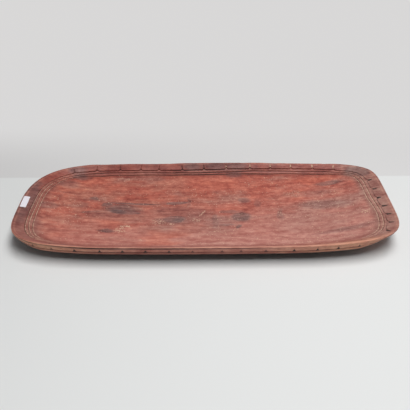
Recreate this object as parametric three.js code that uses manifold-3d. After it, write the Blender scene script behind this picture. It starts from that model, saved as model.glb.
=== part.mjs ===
// A long, shallow wooden platter carved from one plank, in millimetres, +Z up.
// The origin is the centre of the face that it rests on. +X runs along its length to the squarer end,
// +Y to its far side. The rim's sides are steep and its ends are wide and nearly level.
import * as THREE from "three";
import { ConvexGeometry } from "three/addons/geometries/ConvexGeometry.js";
import { mergeVertices } from "three/addons/utils/BufferGeometryUtils.js";
import Module from "manifold-3d";

// Overall size
const platterLength = 800;
const platterWidth = 321;
const widestAt = 30; // how far the broadest section lies from the middle, along X

// Every plan is four quarter superellipses that meet on the broadest section's lines. In each
// quarter "side" is the power that flattens the long edge and "end" the one for the short edge.
const crestCorners = {
  farRight: { side: 2.8, end: 7 },
  farLeft: { side: 6.2, end: 2.3 },
  nearLeft: { side: 4.95, end: 5.4 },
  nearRight: { side: 3.9, end: 5.75 },
};
const floorCorners = {
  farRight: { side: 2.5, end: 10.3 },
  farLeft: { side: 8.6, end: 2.3 },
  nearLeft: { side: 4.5, end: 8.8 },
  nearRight: { side: 3.4, end: 9.2 },
};
const footCorner = { side: 2.6, end: 3.4 };

// Heights
const crestHeight = 44; // of the rim's crest above the table, at the broadest section
const leftEndRise = 3;
const rightEndRise = 8;
const riseSharpness = 2.5; // a high power keeps the rim level until near the ends
const floorThickness = 13; // of the wood under the middle of the dish
const floorEndRise = 8; // how far the floor's spine climbs by its ends
const floorRiseSharpness = 3;

// The crest, and the outer face below it
const crestWidth = 5;
const crestRounding = 2;
const roundingMiddle = 0.3; // how far the rounding's middle point lies along it, in and down
const crestFall = 0.6; // how far the crest's inner edge lies below its top
const outerFaceHeight = 20.5; // along the sides
const leftFaceHeight = 8; // round the left end, where the face has thinned out
const rightFaceHeight = 5;
const leftThinFrom = 70; // the face thins between these distances from an end, along X
const leftThinUntil = 15;
const rightThinFrom = 100;
const rightThinUntil = 30;
const outerFaceLean = 5.5; // over the full height
const outerLineDepth = 14; // of the incised line below the crest, where the face is full
const outerLineWidth = 1.8;
const outerLineCut = 1.5;

// The carved band inside the crest, on the long sides and at the ends
const sideBandWidth = 22;
const sideBandDrop = 20;
const endBandWidth = 45;
const endBandDrop = 8.5;
const sideBandUntil = 0.4; // the band is a side's where its rays to the spine lean less along X
const friezeLinePlace = 0.53; // places on the band, as shares of its width
const firstGroovePlace = 0.75;
const secondGroovePlace = 0.94;
const friezeLineWidth = 2.2;
const friezeLineCut = 1.6;
const grooveWidth = 2.4;
const grooveCut = 1.3;

// The hull, its flat foot, and the floor
const footHalfLength = 240;
const footHalfWidth = 82;
const hullFullness = 1.6; // the power of its section: 1 is a straight bevel, and more is fuller
const spineReach = 212; // half the length of the line that the dish deepens towards
const floorFullness = 1.9; // how fast the floor levels out inside the band

// The frieze's cross cuts, and the chips at their feet
const cellPitch = 51.5;
const cellCount = 13;
const cellCentreX = -2;
const tabCount = 7;
const tabFirstY = -109;
const tabPitch = 22.5;
const tabPitchGrowth = 1.3; // the carver's spacing opens out towards the far side
const tabLength = 10.5;
const notchPitch = 46;
const notchCount = 15;
const notchCentreX = -20;
const lineUpWithin = 3.5; // a notch this close to a cell's cut stands in line with it
const crossCutWidth = 2;
const crossCutDepth = 1;
const crestMargin = 1.2; // plain wood between the crest and a cross cut
const chipWidth = 5.5;
const chipTipWidth = 1;
const chipHeight = 5;
const chipDepth = 1.3; // less than the lines that the chips stand on

// The paper label on the left end's band
const labelLength = 40;
const labelWidth = 13;
const labelThickness = 0.3;
const labelGap = 0.35; // between its underside and the wood
const labelInset = 3.6; // from the crest line to its outer edge
const labelCentreY = -3;

// Fineness of the mesh
const stationsPerSide = 76;
const traceSteps = 900;
const bisections = 40;
const frameStep = 0.5; // in points of a trace, for directions along it
const turnCrowding = 26; // mm: how strongly stations crowd where the outline turns
const hullRings = [0.24, 0.48, 0.7, 0.88]; // shares of the way from the foot to the outer face
const floorRings = [0.1, 0.26, 0.5, 0.78]; // shares of the way from the band to the spine
const spinePitch = 4; // the spine's points lie on whole steps of this, so that none crowd
const cutterOvershoot = 0.6; // share by which a cutter stands proud of the wood that it cuts
const cuttingTolerance = 0.05;
const weldWithin = 1e-3;

const halfLength = platterLength / 2;
const halfWidth = platterWidth / 2;
const FAR = 1;
const NEAR = -1;

const crestPlan = { endX: halfLength, halfWidth, corners: crestCorners };
const floorPlan = {
  endX: halfLength - crestWidth - endBandWidth,
  halfWidth: halfWidth - crestWidth - sideBandWidth,
  corners: floorCorners,
};
const footPlan = {
  endX: footHalfLength,
  halfWidth: footHalfWidth,
  corners: {
    farRight: footCorner,
    farLeft: footCorner,
    nearLeft: footCorner,
    nearRight: footCorner,
  },
};

const mix = (a, b, share) => a + (b - a) * share;

// The quarter of a plan that holds a point: its powers, and its two half lengths.
function quarterOf(plan, onRight, side) {
  const name = (side === FAR ? "far" : "near") + (onRight ? "Right" : "Left");
  const reach = onRight ? plan.endX - widestAt : plan.endX + widestAt;
  return { ...plan.corners[name], reach, halfWidth: plan.halfWidth };
}

// The share m where a quarter superellipse crosses its own diagonal, so that m^side + m^end = 1.
function diagonalShare({ side, end }) {
  let low = 0;
  let high = 1;
  for (let i = 0; i < bisections; i += 1) {
    const m = (low + high) / 2;
    if (m ** side + m ** end > 1) high = m;
    else low = m;
  }
  return low;
}

// A quarter of the crest line, from the end's middle to the broadest section.
function quarterTrace(onRight, side) {
  const quarter = quarterOf(crestPlan, onRight, side);
  const m = diagonalShare(quarter);
  const shares = [];
  for (let i = 0; i <= traceSteps; i += 1) {
    const y = (m * i) / traceSteps;
    shares.push([(1 - y ** quarter.end) ** (1 / quarter.side), y]);
  }
  for (let i = 1; i <= traceSteps; i += 1) {
    const x = m * (1 - i / traceSteps);
    shares.push([x, (1 - x ** quarter.side) ** (1 / quarter.end)]);
  }
  const hand = onRight ? 1 : -1;
  return shares.map(
    ([x, y]) => new THREE.Vector2(widestAt + hand * x * quarter.reach, side * y * halfWidth),
  );
}

// Half of the crest line, from the right end's middle to the left end's, along one long side.
function sideTrace(side) {
  return quarterTrace(true, side).concat(quarterTrace(false, side).reverse().slice(1));
}

const traces = { [FAR]: sideTrace(FAR), [NEAR]: sideTrace(NEAR) };

// The unit vector along a trace at one of its points, from its two neighbours.
function tangentAt(trace, i) {
  const before = trace[Math.max(i - 1, 0)];
  const after = trace[Math.min(i + 1, trace.length - 1)];
  return after.clone().sub(before).normalize();
}

// How far from the crest, on its ray to the spine, an inner plan is crossed.
function distanceTo(plan, crest, step, spineDistance, side) {
  let outer = 0;
  let inner = spineDistance;
  for (let i = 0; i < bisections; i += 1) {
    const middle = (outer + inner) / 2;
    const point = crest.clone().addScaledVector(step, middle);
    const quarter = quarterOf(plan, point.x > widestAt, side);
    const across = Math.abs((point.x - widestAt) / quarter.reach) ** quarter.side;
    const along = Math.abs(point.y / quarter.halfWidth) ** quarter.end;
    if (across + along > 1) outer = middle;
    else inner = middle;
  }
  return inner;
}

// The outer face's height at an X: full along the sides, and thinned out round the ends.
function faceHeightAt(x) {
  const [thin, from, until] =
    x > 0
      ? [rightFaceHeight, rightThinFrom, rightThinUntil]
      : [leftFaceHeight, leftThinFrom, leftThinUntil];
  const share = THREE.MathUtils.smoothstep(Math.abs(x), halfLength - from, halfLength - until);
  return mix(outerFaceHeight, thin, share);
}

// Everything that a section through the rim needs at one point of the crest line.
function rimAt(crest, side) {
  const spineX = spineReach * Math.sin((Math.PI / 2) * (crest.x / halfLength));
  const toSpine = new THREE.Vector2(spineX, 0).sub(crest);
  const step = toSpine.clone().normalize();
  const rise = crest.x > 0 ? rightEndRise : leftEndRise;
  return {
    crest,
    step,
    spineX,
    endness: THREE.MathUtils.smoothstep(Math.abs(step.x), sideBandUntil, 1),
    crestZ: crestHeight + rise * Math.abs(crest.x / halfLength) ** riseSharpness,
    faceHeight: faceHeightAt(crest.x),
    floorStart: distanceTo(floorPlan, crest, step, toSpine.length(), side),
    footStart: distanceTo(footPlan, crest, step, toSpine.length(), side),
  };
}

// How far each point of a trace lies along it, counting its turns as extra length.
function runOf(trace) {
  const run = [0];
  for (let i = 1; i < trace.length; i += 1) {
    const turn = Math.abs(tangentAt(trace, i).cross(tangentAt(trace, i - 1)));
    run.push(run[i - 1] + trace[i].distanceTo(trace[i - 1]) + turnCrowding * turn);
  }
  return run;
}

// The rim at a point of a trace that needn't be whole: 2.5 is midway between points 2 and 3.
function rimAlong(side, place) {
  const trace = traces[side];
  const i = Math.min(Math.floor(place), trace.length - 2);
  return rimAt(trace[i].clone().lerp(trace[i + 1], place - i), side);
}

// The place on a trace where a point of the section reaches a given X or Y. The search runs
// between two places, where that value only rises or only falls.
function placeWhere(side, axis, value, first, last, pointOn) {
  const valueAt = (place) => pointOn(rimAlong(side, place))[axis];
  const rising = valueAt(last) > valueAt(first);
  let low = first;
  let high = last;
  while (high - low > 1) {
    const middle = Math.floor((low + high) / 2);
    if (valueAt(middle) < value === rising) low = middle;
    else high = middle;
  }
  return high;
}

// Evenly pitched values about a centre.
const row = (count, pitch, centre) =>
  Array.from({ length: count }, (_, i) => centre + (i - (count - 1) / 2) * pitch);

// Where the carved cuts of one side stand along its trace.
function cutPlaces(side) {
  const last = traces[side].length - 1;
  const cellValues = row(cellCount, cellPitch, cellCentreX);
  const notchValues = row(notchCount, notchPitch, notchCentreX).map((x) => {
    const inLine = cellValues.find((cell) => Math.abs(cell - x) < lineUpWithin);
    return inLine ?? x;
  });
  const tabValues = Array.from(
    { length: tabCount },
    (_, i) => tabFirstY + tabPitch * i + tabPitchGrowth * i * i,
  );
  return {
    cells: cellValues.map((x) => placeWhere(side, "x", x, 0, last, onFriezeLine)),
    notches: notchValues.map((x) => placeWhere(side, "x", x, 0, last, onOuterLine)),
    tabs: tabValues
      .filter((y) => (y < 0 ? NEAR : FAR) === side)
      .map((y) => placeWhere(side, "y", y, 0, traceSteps, onFriezeLine)),
  };
}

// Sections along one side: one through every cut, then the widest gaps are halved.
function sideStations(side) {
  const run = runOf(traces[side]);
  const { cells, notches, tabs } = cutPlaces(side);
  const ends = [0, run.length - 1];
  const places = [...new Set([...ends, ...cells, ...notches, ...tabs])].sort((a, b) => a - b);
  const gapBefore = (i) => run[places[i]] - run[places[i - 1]];
  while (places.length < stationsPerSide) {
    let widest = 1;
    for (let i = 2; i < places.length; i += 1) if (gapBefore(i) > gapBefore(widest)) widest = i;
    const middle = (run[places[widest]] + run[places[widest - 1]]) / 2;
    places.splice(widest, 0, run.findIndex((length) => length >= middle));
  }
  return places.map((place) => rimAlong(side, place));
}

// The band's straight slope: where it starts, its width and its drop.
function bandOf(rim) {
  const width = rim.floorStart - crestWidth;
  const drop = mix(sideBandDrop, endBandDrop, rim.endness);
  const slope = Math.atan2(drop, width);
  return { width, drop, slope, top: rim.crestZ - crestFall };
}

// A point of the section, "inset" millimetres in from the crest line at height z.
const inside = (rim, inset, z) =>
  new THREE.Vector3(rim.crest.x + rim.step.x * inset, rim.crest.y + rim.step.y * inset, z);

// A point on the band, at a share of its width, sunk square into it by "sunk".
function onBand(rim, share, sunk = 0) {
  const band = bandOf(rim);
  const inset = crestWidth + share * band.width - sunk * Math.sin(band.slope);
  return inside(rim, inset, band.top - share * band.drop - sunk * Math.cos(band.slope));
}

// A point on the outer face, "below" millimetres under the crest's top, sunk into it by "sunk".
function onOuterFace(rim, below, sunk = 0) {
  const lean = (outerFaceLean * below) / outerFaceHeight;
  return inside(rim, lean + sunk, rim.crestZ - below);
}

// A size of the outer line where the face is full, made smaller as the face below the rounding is.
const thinned = (rim, size) =>
  (size * (rim.faceHeight - crestRounding)) / (outerFaceHeight - crestRounding);

// A point near the outer line: "beside" it down the face, and sunk into the face by "sunk".
const besideOuterLine = (rim, beside, sunk = 0) => {
  const below = crestRounding + thinned(rim, outerLineDepth - crestRounding + beside);
  return onOuterFace(rim, below, thinned(rim, sunk));
};

const onFriezeLine = (rim) => onBand(rim, friezeLinePlace);
const onOuterLine = (rim) => besideOuterLine(rim, 0);

// The section of an incised line on the band: its upper lip, its bottom and its lower lip.
function bandGroove(rim, place, width, cut) {
  const half = width / 2 / bandOf(rim).width;
  return [onBand(rim, place - half), onBand(rim, place, cut), onBand(rim, place + half)];
}

// One section of the wood, from the foot's edge up the hull, over the crest and down into the dish.
function sectionPoints(rim) {
  const spine = new THREE.Vector3(rim.spineX, 0, 0);
  const foot = inside(rim, rim.footStart, 0);
  const hullTop = onOuterFace(rim, rim.faceHeight);
  const hull = hullRings.map((share) => {
    const point = foot.clone().lerp(hullTop, share);
    point.z = hullTop.z * share ** hullFullness;
    return point;
  });
  const lineHalf = outerLineWidth / 2;
  const innerGroove = bandGroove(rim, secondGroovePlace, grooveWidth, grooveCut);
  const floorEdge = innerGroove[2];
  const spineShare = Math.abs(rim.spineX / spineReach);
  const floorZ = floorThickness + floorEndRise * spineShare ** floorRiseSharpness;
  const floor = floorRings.map((share) => {
    const point = floorEdge.clone().lerp(spine, share);
    point.z = mix(floorZ, floorEdge.z, (1 - share) ** floorFullness);
    return point;
  });
  return [
    foot,
    ...hull,
    hullTop,
    besideOuterLine(rim, lineHalf),
    besideOuterLine(rim, 0, outerLineCut),
    besideOuterLine(rim, -lineHalf),
    inside(rim, 0, rim.crestZ - crestRounding),
    inside(rim, crestRounding * roundingMiddle, rim.crestZ - crestRounding * roundingMiddle),
    inside(rim, crestRounding, rim.crestZ),
    onBand(rim, 0),
    ...bandGroove(rim, friezeLinePlace, friezeLineWidth, friezeLineCut),
    ...bandGroove(rim, firstGroovePlace, grooveWidth, grooveCut),
    ...innerGroove,
    ...floor,
    new THREE.Vector3(rim.spineX, 0, floorZ),
  ];
}

// A closed solid from three.js triangles, with shared corners merged and slivers dropped.
function solidFrom(wasm, geometry) {
  const positions = new THREE.BufferGeometry();
  positions.setAttribute("position", geometry.getAttribute("position"));
  if (geometry.index) positions.setIndex(geometry.index);
  const merged = mergeVertices(positions, weldWithin);
  const corners = merged.index.array;
  const kept = [];
  for (let i = 0; i < corners.length; i += 3) {
    const [a, b, c] = corners.slice(i, i + 3);
    if (a !== b && b !== c && c !== a) kept.push(a, b, c);
  }
  return new wasm.Manifold(
    new wasm.Mesh({
      numProp: 3,
      vertProperties: merged.getAttribute("position").array,
      triVerts: new Uint32Array(kept),
      tolerance: cuttingTolerance,
    }),
  );
}

function geometryFrom(solid) {
  const mesh = solid.getMesh();
  const geometry = new THREE.BufferGeometry();
  geometry.setAttribute("position", new THREE.BufferAttribute(mesh.vertProperties, 3));
  geometry.setIndex(new THREE.BufferAttribute(mesh.triVerts, 1));
  geometry.computeVertexNormals();
  return geometry;
}

// The uncut wood: the sections of both long sides, joined into one ring and closed along the spine.
function blankGeometry() {
  const far = sideStations(FAR);
  const near = sideStations(NEAR);
  far.forEach((rim, i) => {
    const steps = Math.round((rim.spineX + near[i].spineX) / 2 / spinePitch);
    const shared = steps * spinePitch;
    rim.spineX = shared;
    near[i].spineX = shared;
  });
  const ring = far.concat(near.slice(1, -1).reverse());
  const sections = ring.map((rim) => [
    new THREE.Vector3(rim.spineX, 0, 0),
    ...sectionPoints(rim),
  ]);
  const perSection = sections[0].length;
  const points = sections.flat();
  const index = [];
  sections.forEach((_, i) => {
    const here = i * perSection;
    const next = ((i + 1) % sections.length) * perSection;
    for (let k = 0; k < perSection - 1; k += 1) {
      index.push(here + k, next + k, next + k + 1, here + k, next + k + 1, here + k + 1);
    }
  });
  const geometry = new THREE.BufferGeometry().setFromPoints(points);
  geometry.setIndex(index);
  return geometry;
}

// A knife cut of V section from one point of a surface to another.
function vCut(from, to, outward) {
  const across = to.clone().sub(from).cross(outward).normalize();
  const proud = crossCutDepth * cutterOvershoot;
  const half = (crossCutWidth / 2) * (1 + cutterOvershoot);
  const corners = [from, to].flatMap((end) => [
    end.clone().addScaledVector(outward, -crossCutDepth),
    end.clone().addScaledVector(outward, proud).addScaledVector(across, half),
    end.clone().addScaledVector(outward, proud).addScaledVector(across, -half),
  ]);
  return new ConvexGeometry(corners);
}

// A blunt triangular chip standing on a line: it runs out at its tip and is deepest at its foot.
function chipCut(foot, tip, along, outward) {
  const deep = foot.clone().addScaledVector(outward, -chipDepth);
  const corners = [-1, 1].flatMap((hand) => [
    foot.clone().addScaledVector(along, (hand * chipWidth) / 2),
    tip.clone().addScaledVector(along, (hand * chipTipWidth) / 2),
  ]);
  const proud = corners.map((corner) => deep.clone().lerp(corner, 1 + cutterOvershoot));
  return new ConvexGeometry([deep, ...proud]);
}

// The directions at a point that runs along the rim: along it, out of the wood there, and onward
// over the section, which goes up the outer face and down into the dish.
function frameAt(side, place, pointOn, pointOnward) {
  const rim = rimAlong(side, place);
  const point = pointOn(rim);
  const before = pointOn(rimAlong(side, place - frameStep));
  const along = pointOn(rimAlong(side, place + frameStep)).sub(before).normalize();
  const slope = pointOnward(rim).sub(point).normalize();
  const outward = along.clone().cross(slope).multiplyScalar(side).normalize();
  const onward = outward.clone().cross(along).multiplyScalar(side);
  return { rim, point, along, slope, outward, onward };
}

// The frame on the band at the frieze line.
const friezeFrame = (side, place) => frameAt(side, place, onFriezeLine, (rim) => onBand(rim, 1));

// A cross cut of the inner frieze with a chip at its foot. It stands square on the frieze line.
function bandCrossCut({ point, along, outward, onward }, length) {
  const head = point.clone().addScaledVector(onward, -length);
  const tip = point.clone().addScaledVector(onward, -chipHeight);
  return [vCut(head, point, outward), chipCut(point, tip, along, outward)];
}

// The cross cut of a cell, which stops just short of the crest.
function cellCut(frame) {
  const { width, drop } = bandOf(frame.rim);
  const upTheBand = friezeLinePlace * Math.hypot(width, drop) * frame.slope.dot(frame.onward);
  return bandCrossCut(frame, upTheBand - crestMargin);
}

// One triangular notch standing on the outer face's line.
function outerNotch(side, place) {
  const crestEdge = (rim) => onOuterFace(rim, crestRounding);
  const { point, along, outward, onward } = frameAt(side, place, onOuterLine, crestEdge);
  const tip = point.clone().addScaledVector(onward, chipHeight);
  return chipCut(point, tip, along, outward);
}

function carvedPlatter(wasm) {
  const cutters = [FAR, NEAR].flatMap((side) => {
    const { cells, notches, tabs } = cutPlaces(side);
    return [
      ...cells.flatMap((place) => cellCut(friezeFrame(side, place))),
      ...tabs.flatMap((place) => bandCrossCut(friezeFrame(side, place), tabLength)),
      ...notches.map((place) => outerNotch(side, place)),
    ];
  });
  const blank = solidFrom(wasm, blankGeometry());
  const carved = cutters.reduce((wood, cutter) => wood.subtract(solidFrom(wasm, cutter)), blank);
  const mesh = new THREE.Mesh(
    geometryFrom(carved),
    new THREE.MeshStandardMaterial({ color: 0x96493c, roughness: 0.62, metalness: 0 }),
  );
  mesh.name = "platter";
  return mesh;
}

// A small flat sheet, tangent to the left end's band.
function paperLabel() {
  const side = labelCentreY < 0 ? NEAR : FAR;
  const middle = labelInset + labelWidth / 2;
  const onLabel = (rim) => onBand(rim, (middle - crestWidth) / bandOf(rim).width);
  const leftEnd = traces[side].length - 1;
  const place = placeWhere(side, "y", labelCentreY, leftEnd - traceSteps, leftEnd, onLabel);
  const { point, outward, onward } = frameAt(side, place, onLabel, onFriezeLine);
  const mesh = new THREE.Mesh(
    new THREE.BoxGeometry(labelWidth, labelLength, labelThickness),
    new THREE.MeshStandardMaterial({ color: 0xe9e6ea, roughness: 0.55, metalness: 0 }),
  );
  mesh.name = "paper_label";
  const lengthways = outward.clone().cross(onward);
  mesh.quaternion.setFromRotationMatrix(
    new THREE.Matrix4().makeBasis(onward, lengthways, outward),
  );
  mesh.position.copy(point).addScaledVector(outward, labelGap + labelThickness / 2);
  return mesh;
}

const wasm = await Module();
wasm.setup();

const platter = new THREE.Group();
platter.add(carvedPlatter(wasm), paperLabel());

export default platter;
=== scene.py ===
"""A long, shallow wooden platter carved from one plank, dressed over its fixed frame.

Lengths are metres unless a name or a comment says otherwise. +X runs to the squarer end, +Y to
the far side and +Z up.
"""

import math
from types import SimpleNamespace

import bpy
import numpy as np
from bpy.props import FloatProperty, FloatVectorProperty, IntProperty, PointerProperty
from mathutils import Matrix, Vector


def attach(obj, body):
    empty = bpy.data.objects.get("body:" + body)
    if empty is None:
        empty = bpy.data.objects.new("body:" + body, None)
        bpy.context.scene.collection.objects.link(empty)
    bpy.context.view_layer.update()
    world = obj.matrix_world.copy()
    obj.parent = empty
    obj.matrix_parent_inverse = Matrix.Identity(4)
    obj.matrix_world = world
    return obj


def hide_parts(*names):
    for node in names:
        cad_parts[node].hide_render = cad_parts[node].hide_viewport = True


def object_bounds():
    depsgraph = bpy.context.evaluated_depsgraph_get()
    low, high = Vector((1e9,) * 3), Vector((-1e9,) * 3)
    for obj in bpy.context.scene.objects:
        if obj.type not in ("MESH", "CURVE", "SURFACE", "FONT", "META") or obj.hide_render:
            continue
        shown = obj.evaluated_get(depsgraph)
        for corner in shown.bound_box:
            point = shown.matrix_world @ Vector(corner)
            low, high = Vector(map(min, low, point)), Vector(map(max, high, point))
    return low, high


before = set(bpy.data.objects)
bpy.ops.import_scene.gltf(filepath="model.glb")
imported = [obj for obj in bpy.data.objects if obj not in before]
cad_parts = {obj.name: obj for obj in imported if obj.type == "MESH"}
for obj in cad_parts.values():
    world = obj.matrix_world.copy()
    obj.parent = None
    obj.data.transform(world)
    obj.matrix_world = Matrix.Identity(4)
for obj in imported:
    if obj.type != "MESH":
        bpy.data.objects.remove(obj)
frame_low, frame_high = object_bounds()

bl_info = {
    "name": "Carved Wooden Platter",
    "version": (1, 0, 0),
    "blender": (4, 5, 0),
    "location": "3D View > Sidebar > Platter",
    "description": "A hand-carved plank platter with an incised frieze, and its studio stage",
    "category": "Add Mesh",
}

FAR, NEAR = 1, -1
MM = 0.001

# The powers of the quarter superellipses, as (side, end): "side" flattens the long edge and
# "end" the short one.
CREST_CORNERS = {
    (FAR, "right"): (2.8, 7.0),
    (FAR, "left"): (6.2, 2.3),
    (NEAR, "left"): (4.95, 5.4),
    (NEAR, "right"): (3.9, 5.75),
}
FLOOR_CORNERS = {
    (FAR, "right"): (2.5, 10.3),
    (FAR, "left"): (8.6, 2.3),
    (NEAR, "left"): (4.5, 8.8),
    (NEAR, "right"): (3.4, 9.2),
}
FOOT_CORNER = (2.6, 3.4)

# How sharply the heights bend: the crest and the floor along X, the hull and the floor across.
RISE_SHARPNESS = 2.5
FLOOR_RISE_SHARPNESS = 3.0
HULL_FULLNESS = 1.6
FLOOR_FULLNESS = 1.9

# A ray's share of X from which the band starts to turn into an end's, and the Y, turned to the
# near side, over which the right end's lines go from the far corner's places to the near one's.
SIDE_BAND_UNTIL = 0.4
NEAR_CORNER_SPAN = (-0.03, 0.07)

# The mesh: steps along a quarter of the trace, sections of a side, their pitches and the rings.
TRACE_STEPS = 900
STATIONS = 520
PLAIN_PITCH = 0.0052
CUT_PITCH = 0.0008
CUT_REACH = 0.0046
SPINE_PITCH = 0.002
BISECTIONS = 40
BOTTOM_SHARES = (0.66, 0.33, 0.0)
HULL_STEPS = 12
FLOOR_STEPS = 18
BESIDE_FRIEZE = (-0.0056, -0.0046, -0.0037, -0.0029, -0.0022, -0.0016)

# The finish's values on the mesh, and those of a plain ring: "on_rim" is 1 on the rim, 0 in the
# dish and 2 underneath, and a ring's place on the floor isn't stored.
FINISH = ("dirt", "wear", "lime", "on_rim", "outside")
PLAIN_RING = {"dirt": 0.0, "wear": 0.0, "lime": 0.0, "on_rim": 1.0, "outside": 0.0, "place": 0.0}
UNDERSIDE = 2.0

# The darkening along the outer edge, which fades out along X and below the crest, and the crest's
# wear with its painted highlight, which grows along X from the left end and is strongest on the
# near side.
EDGE_DARKENING = 0.95
EDGE_DARKENING_ALONG = (0.22, 0.05)
EDGE_DARKENING_BELOW = (0.0060, 0.0030)
CREST_WEAR_AND_HIGHLIGHT = {FAR: 0.3, NEAR: 1.0}
WEAR_AND_HIGHLIGHT_ALONG = (-0.38, -0.27)

# The cuts: how far from its plane a cut reaches, how its head fades out and keeps off the crest,
# the base of a chip and of a notch, the chip's place beside a tab, a notch's scored line, a tab's
# climb against a divider's and the line's depth between tabs.
CUT_SLAB = 0.012
CUT_HEAD = 0.004
HEAD_GAP = 0.003
CHIP_BASE = 0.0008
NOTCH_BASE = 0.0012
TAB_CHIP_SHIFT = 0.0008
SCORE_WIDTH = 0.0022
SCORE_DEPTH = 0.0006
HOOK_SCALE = 1.6
FAINT_LINE = 0.45
CARVE_SEEDS = {FAR: 51, NEAR: 61}

# The hand's unevenness: how deep the waves are by which the crest is drawn in and worn down and
# the lines wander, the surfaces' dents, and the far crest's sag with the places along X from
# which it begins: away from its middle and from the ends.
DRAWN_IN = 0.0003
WORN_DOWN = 0.0002
LINE_WANDER = 0.0005
HULL_SCOOPS = 0.0007
FLOOR_WAVES = 0.0004
CREST_NICKS = 0.0012
FAR_SAG = 0.0021
SAG_MIDDLE, SAG_FROM_MIDDLE = 0.0425, (0.085, 0.130)
SAG_LEFT, SAG_RIGHT = (-0.275, -0.235), (0.325, 0.285)

# How far the hand's lines stray from their even places on the far side, towards the floor, in
# millimetres: at an X, the frieze line, the first groove and the second.
FAR_STRAY = (
    (-300, 0.0, 0.0, 0.0),
    (-244, -0.4, -1.0, 0.0),
    (-142, 0.0, -1.2, 0.0),
    (-80, 0.0, -0.2, 0.0),
    (-36, 0.0, 0.0, 0.0),
    (12, -0.4, -0.8, -1.2),
    (70, -1.6, -1.5, -1.6),
    (121, -1.8, -2.8, -1.8),
    (172, -2.8, -2.6, -1.6),
    (223, -2.8, -2.6, -2.0),
    (279, -2.8, -2.4, -1.4),
    (330, 0.0, 0.0, 0.0),
)
# How far each divider and notch stands to the right of its even place, in millimetres.
DIVIDER_STRAY = (5.0, 3.1, 6.7, 4.0, -4.2, 0.5, 1.5, 3.4, 8.8, 6.4, 3.7, 3.4, 0.3)
NOTCH_STRAY = (0.3, -6.7, -6.9, -3.3, -4.6, -5.6, -5.6, -5.6, 6.1, -2.6, 0.2, 9.7, 9.8, 5.1, 1.6)

# Old marks on the wood, in millimetres and degrees: X, Y, half size along and across, turn and
# strength. Stains are damp and smoke, scuffs bare the pale wood, and patches are greyed.
STAINS = (
    (-183.2, 4.3, 37.0, 20.0, 0.0, 0.78),
    (-188.0, -4.3, 24.0, 8.5, 0.0, 1.00),
    (-157.6, -8.3, 15.0, 6.0, 0.0, 0.90),
    (-162.3, 27.8, 60.7, 3.4, -1.0, 0.85),
    (-216.2, 19.8, 11.0, 8.0, 0.0, 0.80),
    (-63.6, 31.9, 27.1, 5.0, 6.0, 0.90),
    (-36.6, 29.7, 6.0, 20.0, 0.0, 0.45),
    (-173.4, -16.4, 78.6, 22.3, 0.0, 0.46),
    (-57.8, -11.8, 76.4, 34.3, 0.0, 0.50),
    (-65.9, -27.9, 26.8, 15.0, 6.0, 0.90),
    (-59.4, -30.1, 16.0, 8.5, 6.0, 1.00),
    (24.8, -34.4, 8.5, 27.1, 0.0, 0.62),
    (45.7, -49.5, 19.1, 3.6, 0.0, 0.75),
    (70.9, -56.0, 6.5, 7.3, -20.0, 0.80),
    (56.6, 0.1, 24.1, 6.3, 0.0, 0.62),
    (80.0, -20.0, 21.0, 17.0, -4.0, 0.85),
    (-249.7, 41.6, 9.1, 6.8, 0.0, 0.70),
    (-248.2, -10.0, 25.2, 4.1, 8.0, 0.60),
    (-206.6, -73.2, 14.7, 6.8, 0.0, 0.75),
    (-162.4, -36.2, 19.4, 11.4, 0.0, 0.35),
    (117.7, 28.2, 10.1, 12.5, 0.0, 0.40),
    (164.3, -14.0, 7.4, 20.3, 0.0, 0.40),
    (-310.8, 85.6, 23.2, 16.9, 0.0, 0.45),
    (-337.1, -2.5, 19.7, 11.3, 0.0, 0.40),
    (31.2, -36.3, 38.8, 21.5, 0.0, 0.42),
    (-89.7, -29.7, 17.3, 10.1, 0.0, 0.65),
    (351.8, 118.4, 23.6, 13.4, 0.0, 0.65),
    (-301.4, 133.4, 21.4, 11.8, 0.0, 0.55),
    (71.8, 132.1, 16.7, 9.1, 0.0, 0.50),
    (90.0, 42.0, 12.0, 8.0, 0.0, 0.55),
    (230.0, 55.0, 60.0, 12.0, 0.0, 0.30),
    (290.0, 90.0, 30.0, 8.0, 0.0, 0.70),
    (265.0, 10.0, 60.0, 16.0, -6.0, 0.40),
    (-290.0, 118.0, 20.0, 10.0, 0.0, 0.60),
    (-388.0, 5.0, 20.0, 90.0, 0.0, 0.55),
    (290.0, -85.0, 60.0, 8.0, 8.0, 0.40),
    (374.0, 105.0, 16.0, 12.0, 0.0, 0.60),
    (-28.0, 151.0, 22.0, 7.0, 0.0, 0.40),
    (25.0, 151.0, 22.0, 7.0, 0.0, 0.35),
    (80.0, 151.0, 22.0, 7.0, 0.0, 0.35),
)
SCUFFS = (
    (-169.7, -57.2, 11.7, 5.2, 8.0, 1.00),
    (-179.9, -69.4, 10.5, 8.9, 20.0, 0.80),
    (-100.0, -37.8, 15.1, 10.4, 0.0, 0.55),
    (-72.8, -46.3, 6.4, 2.5, 0.0, 0.80),
    (-6.3, -6.8, 15.4, 1.9, 62.0, 0.60),
    (-19.4, -31.5, 9.7, 9.4, 0.0, 0.50),
    (22.0, -73.0, 5.0, 4.0, 0.0, 0.55),
    (343.0, -36.7, 7.0, 4.0, 12.0, 1.00),
    (164.0, -8.3, 4.0, 3.0, 0.0, 0.90),
    (-329.0, 25.6, 5.0, 4.0, 0.0, 0.60),
    (-133.0, -107.5, 4.0, 3.0, 0.0, 0.90),
    (-202.0, 133.5, 3.0, 2.5, 0.0, 0.60),
    (-181.0, 120.0, 4.0, 3.0, 0.0, 0.60),
    (296.0, 50.0, 14.0, 7.0, 0.0, 0.30),
    (205.0, 60.0, 22.0, 12.0, 0.0, 0.30),
)
PATCHES = (
    (-57.0, -62.0, 64.0, 23.0, 0.0, 0.60),
    (-245.0, -62.0, 30.0, 16.0, 0.0, 0.45),
    (20.0, -70.0, 40.0, 16.0, 0.0, 0.35),
    (-360.0, -90.0, 26.0, 36.0, 0.0, 0.50),
)

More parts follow.
